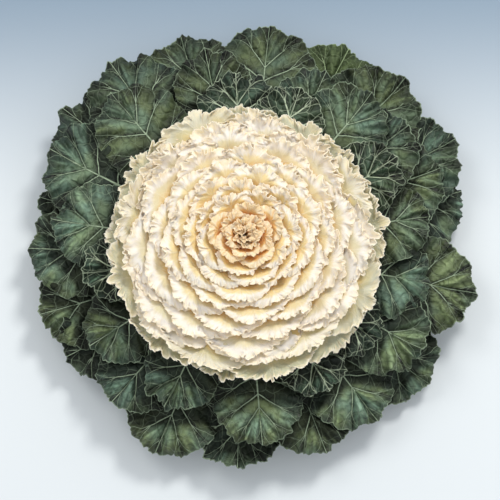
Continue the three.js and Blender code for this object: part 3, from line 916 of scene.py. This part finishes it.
def build_head(materials, cover):
    """The rim's leaves one by one, the heart's in four pieces, the bud's in one."""
    for k in range(WHITE_COUNT):
        leaf = head_leaf(WHITE, k, k)
        node = f"white_leaf_{k + 1:02d}"
        shell = leaf_shell(leaf, head_tone(leaf.rank))
        add_to_cover(cover, shell)
        mesh = make_mesh(f"{node}_fine", [shell])
        make_piece(f"{node}_fine", mesh, materials["white_leaf"], node)

    count = round((BUD_START - WHITE_COUNT) * FILL)
    leaves = [head_leaf(HEART, WHITE_COUNT + n / FILL, WHITE_COUNT + n) for n in range(count)]
    rim = [
        head_leaf(HEART, RIM_FILL_PLACE + n / FILL, RIM_FILL_FIRST + n + RIM_FILL_TURN)
        for n in range(RIM_FILL)
    ]
    names = ("heart_outer", "heart_middle", "heart_inner")
    third = -(-count // 3)
    parts = {name: leaves[i * third:(i + 1) * third] for i, name in enumerate(names)}
    parts["heart_rim"] = rim
    for name, part in parts.items():
        shells = [leaf_shell(leaf, head_tone(leaf.rank)) for leaf in part]
        make_piece(name, make_mesh(name, shells), materials["heart_leaf"], "heart")

    first = WHITE_COUNT + count
    order = range(round(BUD_COUNT * BUD_FILL))
    leaves = [head_leaf(BUD, BUD_START + n / BUD_FILL, first + n) for n in order]
    shells = [leaf_shell(leaf, head_tone(leaf.rank)) for leaf in leaves]
    mesh = make_mesh("bud_leaves", shells)
    make_piece("bud_leaves", mesh, materials["bud_leaf"], "heart_bud")


def build_stem(materials):
    """The stem's profile with a finer line, gently ribbed, its cut edge broken."""
    edge_height, edge_width, ripple = 0.4, 0.5, 0.12
    height = np.concatenate([[0], np.linspace(edge_height, STEM_PROFILE[-1, 1], 40)])
    radius = np.interp(height, STEM_PROFILE[:, 1], STEM_PROFILE[:, 0])
    radius[0] -= edge_width
    vertices, faces = turned_shell(np.stack([radius, height], -1), 64, ripple)
    mesh = bpy.data.meshes.new("stem_fine")
    mesh.from_pydata(vertices * MM, [], faces)
    mesh.polygons.foreach_set("use_smooth", np.ones(len(faces), bool))
    make_piece("stem_fine", mesh, materials["stem"], "stem")


# ---------------------------------------------------------------- floor, light and camera

# Measures in metres.
FLOOR_HALF = 2.0
CAMERA_ELEVATION = math.radians(79)
CAMERA_DISTANCE = 1.5
CAMERA_TARGET = Vector((0, 0, 0.060))
TARGET_PIXEL = (245.0, 245.6)
METRES_PER_PIXEL = 0.697e-3  # at the target
FRAME_PIXELS = 500
SENSOR = 36.0  # millimetres


def build_floor():
    """A plain sheet of pale paper, cooler and darker towards the back."""
    corners = [(-FLOOR_HALF, -FLOOR_HALF, 0), (FLOOR_HALF, -FLOOR_HALF, 0),
               (FLOOR_HALF, FLOOR_HALF, 0), (-FLOOR_HALF, FLOOR_HALF, 0)]
    mesh = bpy.data.meshes.new("floor")
    mesh.from_pydata(corners, [], [(0, 1, 2, 3)])
    floor = bpy.data.objects.new("floor", mesh)
    bpy.context.scene.collection.objects.link(floor)
    material, g, shader = new_material("floor paper", Roughness=0.9, Specular_IOR_Level=0.1)
    y = g.node("SeparateXYZ", {"Vector": g.node("TexCoord").outputs["Object"]}).outputs[1]
    paper = g.mix(g.ease(y, 0.0, 0.24), colour("#dae0e3"), colour("#7b8ea0"))
    g.put(shader.inputs["Base Color"], paper)
    mesh.materials.append(material)


def add_area_light(name, place, size, power, tint):
    lamp = bpy.data.lights.new(name, "AREA")
    lamp.shape = "DISK"
    lamp.size = size
    lamp.energy = power
    lamp.color = tint
    light = bpy.data.objects.new(name, lamp)
    bpy.context.scene.collection.objects.link(light)
    light.location = place
    aim = CAMERA_TARGET - Vector(place)
    light.rotation_euler = aim.to_track_quat("-Z", "Y").to_euler()


def build_light():
    world = bpy.data.worlds.new("studio")
    world.use_nodes = True
    background = world.node_tree.nodes["Background"]
    background.inputs["Color"].default_value = (0.95, 0.97, 1.0, 1)
    background.inputs["Strength"].default_value = 0.79
    bpy.context.scene.world = world
    add_area_light("key", (0.44, 0.7, 1.22), 0.36, 11.0, (1.0, 0.98, 0.945))
    add_area_light("second", (-0.62, 0.5, 1.3), 0.6, 4.2, (1.0, 0.98, 0.95))


def build_camera():
    """Looks along +Y and down, so that the target lands on its pixel."""
    data = bpy.data.cameras.new("camera")
    camera = bpy.data.objects.new("camera", data)
    bpy.context.scene.collection.objects.link(camera)
    back = Vector((0, -math.cos(CAMERA_ELEVATION), math.sin(CAMERA_ELEVATION)))
    camera.location = CAMERA_TARGET + back * CAMERA_DISTANCE
    camera.rotation_euler = (math.pi / 2 - CAMERA_ELEVATION, 0, 0)
    data.sensor_width = SENSOR
    data.lens = SENSOR * CAMERA_DISTANCE / (METRES_PER_PIXEL * FRAME_PIXELS)
    data.shift_x = (FRAME_PIXELS / 2 - TARGET_PIXEL[0]) / FRAME_PIXELS
    data.shift_y = (TARGET_PIXEL[1] - FRAME_PIXELS / 2) / FRAME_PIXELS
    bpy.context.scene.camera = camera


# ---------------------------------------------------------------- all of it

VEINS = make_vein_group()
MATERIALS = {
    "green_leaf": green_leaf_material(
        "green leaf", "#0a0d08", "#96a977", "#8eaf97", "#a9bc9e", 0.5, 0.5),
    "light_green_leaf": green_leaf_material(
        "light green leaf", "#3e4e28", "#9ab276", "#9ab276", "#b2c898", 0.5, 0.45),
    "veined_leaf": green_leaf_material(
        "veined leaf", "#090d07", "#607556", "#607c66", "#c8d7b8", 1.1, 0.7),
    "white_leaf": pale_leaf_material(
        "white leaf", "#bcbca2", "#f8ebd6", "#f9ead1", "#cbc19a", "#f1d8a4", "#ebcb8e", "#fde7bc"),
    "heart_leaf": pale_leaf_material(
        "heart leaf", "#bcbca2", "#fbeedd", "#fcecd6", "#e1d7b6", "#f3d092", "#ecc182", "#fde6bc"),
    "bud_leaf": pale_leaf_material(
        "bud leaf", "#fbedcc", "#fbedcc", "#fbe2be", "#f8d48e", "#efbe80", "#d69558", "#f6d09c"),
    "stem": stem_material(),
}

build_camera()
build_floor()
build_light()
build_stem(MATERIALS)
COVER = np.zeros((2 * COVER_HALF, 2 * COVER_HALF))
build_head(MATERIALS, COVER)
build_green_leaves(MATERIALS, COVER)
bpy.context.scene.view_settings.view_transform = "Standard"
